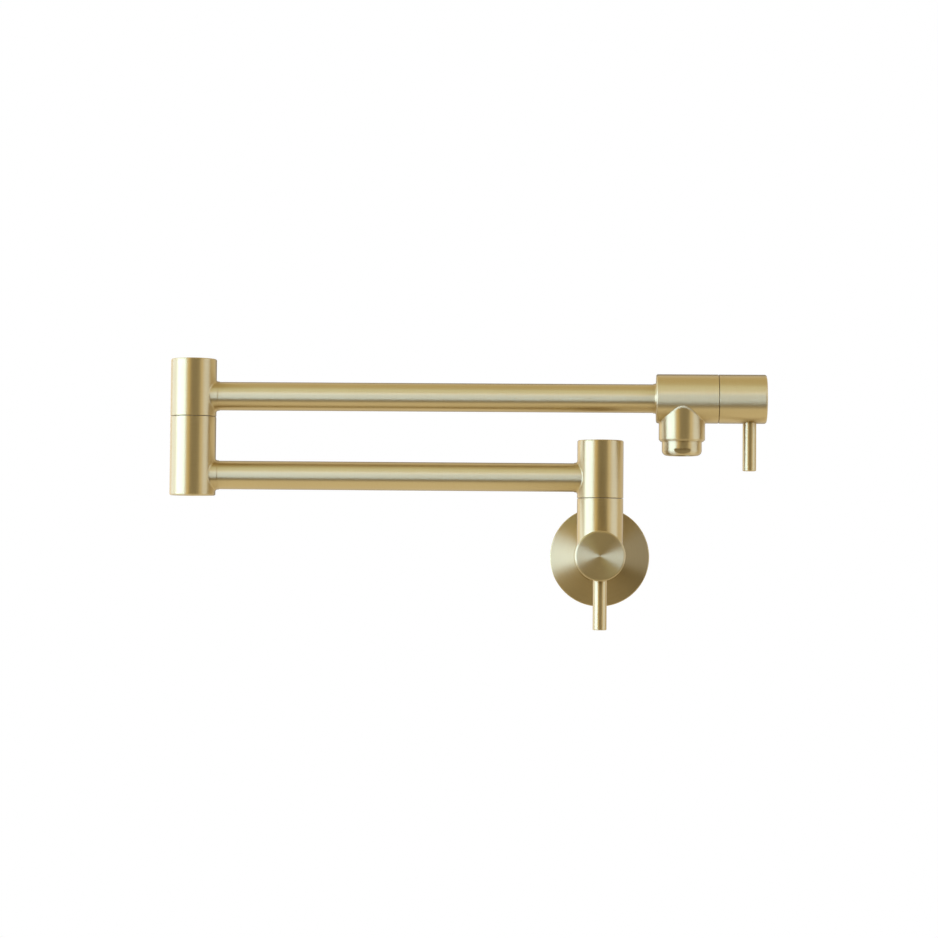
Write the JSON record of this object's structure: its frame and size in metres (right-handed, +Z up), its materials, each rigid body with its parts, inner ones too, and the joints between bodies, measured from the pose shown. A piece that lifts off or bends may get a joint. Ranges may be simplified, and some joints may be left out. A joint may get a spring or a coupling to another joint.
{
  "type": "wall mounted pot filler",
  "caption": "Wall-mounted kitchen tap with folding jointed arms over a hob, a quarter-turn valve at the wall and another at the spout, in satin brushed gold.",
  "frame": {"origin": "centre of the inlet in the wall plane, which is also the centre of the wall screws' circle", "axes": "+Y into the wall, +Z up, and +X along the folded arms from the elbow towards the spout"},
  "size_m": [0.3763, 0.1028, 0.1681],
  "materials": {
    "brushed_gold": "satin brushed warm gold coating on solid brass, grain round the turned pieces and along the tubes",
    "machined_brass": "bare turned brass inside the valves and swivels",
    "stainless_steel": "plain stainless steel",
    "disc_ceramic": "lapped white alumina",
    "black_rubber": "matte black sealing rubber",
    "white_acetal": "white low-friction plastic",
    "pale_plastic": "pale grey moulded plastic"
  },
  "bodies": {
    "base": {"valve_body": "brushed_gold", "wall_rose": "brushed_gold", "rose_gasket": "black_rubber", "rose_o_ring": "black_rubber", "wall_bracket": "stainless_steel", "bracket_grub_screw": "stainless_steel", "base_seat_seal": "black_rubber", "base_fixed_disc": "disc_ceramic", "base_cartridge": "machined_brass", "base_cartridge_o_ring": "black_rubber", "base_bonnet_nut": "machined_brass", "base_spigot": "machined_brass", "base_swivel_o_rings": "black_rubber", "base_slip_ring": "white_acetal", "base_retainer_washer": "stainless_steel", "base_retainer_screw": "stainless_steel"},
    "inner_arm": {"base_hub": "brushed_gold", "base_hub_cap": "brushed_gold", "inner_tube": "brushed_gold", "elbow_foot_hub": "brushed_gold", "elbow_spigot": "machined_brass", "elbow_swivel_o_rings": "black_rubber", "elbow_slip_ring": "white_acetal", "elbow_retainer_washer": "stainless_steel", "elbow_retainer_screw": "stainless_steel"},
    "outer_arm": {"elbow_hub": "brushed_gold", "elbow_hub_cap": "brushed_gold", "outer_tube": "brushed_gold", "spout_body": "brushed_gold", "aerator_housing": "brushed_gold", "aerator_insert": "pale_plastic", "aerator_jet_plate": "pale_plastic", "aerator_washer": "black_rubber", "spout_seat_seal": "black_rubber", "spout_fixed_disc": "disc_ceramic", "spout_cartridge": "machined_brass", "spout_cartridge_o_ring": "black_rubber", "spout_bonnet_nut": "machined_brass"},
    "base_handle": {"base_moving_disc": "disc_ceramic", "base_spindle": "machined_brass", "base_spindle_o_ring": "black_rubber", "base_handle_adapter": "machined_brass", "base_adapter_screw": "stainless_steel", "base_handle": "brushed_gold", "base_lever": "brushed_gold", "base_handle_grub_screw": "stainless_steel"},
    "spout_handle": {"spout_moving_disc": "disc_ceramic", "spout_spindle": "machined_brass", "spout_spindle_o_ring": "black_rubber", "spout_handle_adapter": "machined_brass", "spout_adapter_screw": "stainless_steel", "spout_handle": "brushed_gold", "spout_lever": "brushed_gold", "spout_handle_grub_screw": "stainless_steel"}
  },
  "joints": [
    {"name": "base_swivel", "type": "hinge", "parent": "base", "child": "inner_arm", "pos_m": [0, -0.05, 0.0363], "axis": [0, 0, 1], "range_deg": [0, 180]},
    {"name": "elbow_swivel", "type": "hinge", "parent": "inner_arm", "child": "outer_arm", "pos_m": [-0.258, -0.05, 0.0863], "axis": [0, 0, 1], "continuous": true},
    {"name": "base_handle_turn", "type": "hinge", "parent": "base", "child": "base_handle", "pos_m": [0, -0.073, 0], "axis": [0, -1, 0], "range_deg": [0, 90]},
    {"name": "spout_handle_turn", "type": "hinge", "parent": "outer_arm", "child": "spout_handle", "pos_m": [0.074, -0.05, 0.0995], "axis": [1, 0, 0], "range_deg": [0, 90]}
  ]
}
